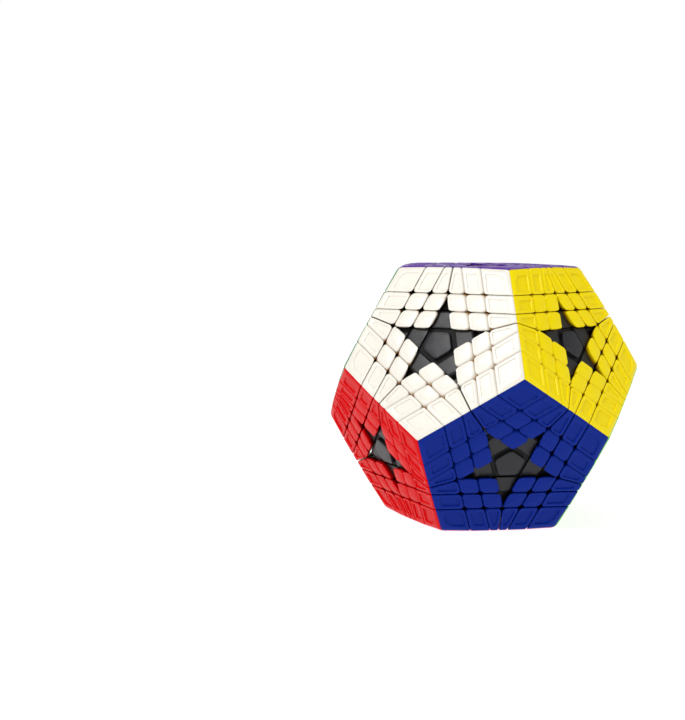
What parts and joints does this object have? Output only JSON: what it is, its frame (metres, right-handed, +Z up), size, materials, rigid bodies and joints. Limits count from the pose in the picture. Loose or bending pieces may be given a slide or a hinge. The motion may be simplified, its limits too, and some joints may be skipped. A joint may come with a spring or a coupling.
{
  "type": "dodecahedron twisty puzzle",
  "caption": "Twelve-sided twisty puzzle of coloured tiled pieces on black feet, with star-shaped recesses in its faces and layers that turn around a vertical axis.",
  "frame": {"origin": "middle of the lower face, at the height of the surface that the puzzle stands on", "axes": "+Z up along the axis through the middles of the lower and the upper face, -Y towards the front face of the lower ring"},
  "size_m": [0.1176, 0.1236, 0.1],
  "materials": {
    "purple_plastic": "smooth satin-gloss moulded shell",
    "white_plastic": "smooth satin-gloss moulded shell",
    "yellow_plastic": "smooth satin-gloss moulded shell",
    "orange_plastic": "smooth satin-gloss moulded shell",
    "lightblue_plastic": "smooth satin-gloss moulded shell",
    "green_plastic": "smooth satin-gloss moulded shell",
    "blue_plastic": "smooth satin-gloss moulded shell",
    "lime_plastic": "smooth satin-gloss moulded shell",
    "grey_plastic": "smooth satin-gloss moulded shell",
    "cream_plastic": "smooth satin-gloss moulded shell",
    "red_plastic": "smooth satin-gloss moulded shell",
    "pink_plastic": "smooth satin-gloss moulded shell",
    "black_foot_plastic": "fine satin",
    "core_plastic": "satin",
    "hub_plastic": "satin",
    "cap_plastic": "satin",
    "screw_steel": "zinc plated",
    "spring_steel": "drawn wire",
    "washer_steel": "stamped"
  },
  "bodies": {
    "middle": {"tiles_white_middle": "white_plastic", "tiles_yellow_middle": "yellow_plastic", "tiles_orange_middle": "orange_plastic", "tiles_lightblue_middle": "lightblue_plastic", "tiles_green_middle": "green_plastic", "tiles_blue_middle": "blue_plastic", "tiles_lime_middle": "lime_plastic", "tiles_grey_middle": "grey_plastic", "tiles_cream_middle": "cream_plastic", "tiles_red_middle": "red_plastic", "feet_middle": "black_foot_plastic", "core_upper": "core_plastic", "core_lower": "core_plastic", "tension_screws": "screw_steel", "tension_springs": "spring_steel", "spring_washers": "washer_steel", "hubs_middle": "hub_plastic", "caps_middle": "cap_plastic"},
    "top_3": {"tiles_white_top_3": "white_plastic", "tiles_yellow_top_3": "yellow_plastic", "tiles_orange_top_3": "orange_plastic", "tiles_lightblue_top_3": "lightblue_plastic", "tiles_green_top_3": "green_plastic", "feet_top_3": "black_foot_plastic"},
    "top_2": {"tiles_white_top_2": "white_plastic", "tiles_yellow_top_2": "yellow_plastic", "tiles_orange_top_2": "orange_plastic", "tiles_lightblue_top_2": "lightblue_plastic", "tiles_green_top_2": "green_plastic", "feet_top_2": "black_foot_plastic"},
    "top_1": {"tiles_purple_top_1": "purple_plastic", "tiles_white_top_1": "white_plastic", "tiles_yellow_top_1": "yellow_plastic", "tiles_orange_top_1": "orange_plastic", "tiles_lightblue_top_1": "lightblue_plastic", "tiles_green_top_1": "green_plastic", "feet_top_1": "black_foot_plastic", "hub_top": "hub_plastic", "cap_top_face": "cap_plastic"},
    "bottom_3": {"tiles_blue_bottom_3": "blue_plastic", "tiles_lime_bottom_3": "lime_plastic", "tiles_grey_bottom_3": "grey_plastic", "tiles_cream_bottom_3": "cream_plastic", "tiles_red_bottom_3": "red_plastic", "feet_bottom_3": "black_foot_plastic"},
    "bottom_2": {"tiles_blue_bottom_2": "blue_plastic", "tiles_lime_bottom_2": "lime_plastic", "tiles_grey_bottom_2": "grey_plastic", "tiles_cream_bottom_2": "cream_plastic", "tiles_red_bottom_2": "red_plastic", "feet_bottom_2": "black_foot_plastic"},
    "bottom_1": {"tiles_pink_bottom_1": "pink_plastic", "tiles_blue_bottom_1": "blue_plastic", "tiles_lime_bottom_1": "lime_plastic", "tiles_grey_bottom_1": "grey_plastic", "tiles_cream_bottom_1": "cream_plastic", "tiles_red_bottom_1": "red_plastic", "feet_bottom_1": "black_foot_plastic", "hub_bottom": "hub_plastic", "cap_bottom_face": "cap_plastic"}
  },
  "joints": [
    {"name": "top_outer_layer_turn", "type": "hinge", "parent": "middle", "child": "top_1", "pos_m": [0, 0, 0.05], "axis": [0, 0, 1], "continuous": true},
    {"name": "top_second_layer_turn", "type": "hinge", "parent": "middle", "child": "top_2", "pos_m": [0, 0, 0.05], "axis": [0, 0, 1], "continuous": true},
    {"name": "top_third_layer_turn", "type": "hinge", "parent": "middle", "child": "top_3", "pos_m": [0, 0, 0.05], "axis": [0, 0, 1], "continuous": true},
    {"name": "bottom_outer_layer_turn", "type": "hinge", "parent": "middle", "child": "bottom_1", "pos_m": [0, 0, 0.05], "axis": [0, 0, -1], "continuous": true},
    {"name": "bottom_second_layer_turn", "type": "hinge", "parent": "middle", "child": "bottom_2", "pos_m": [0, 0, 0.05], "axis": [0, 0, -1], "continuous": true},
    {"name": "bottom_third_layer_turn", "type": "hinge", "parent": "middle", "child": "bottom_3", "pos_m": [0, 0, 0.05], "axis": [0, 0, -1], "continuous": true}
  ]
}
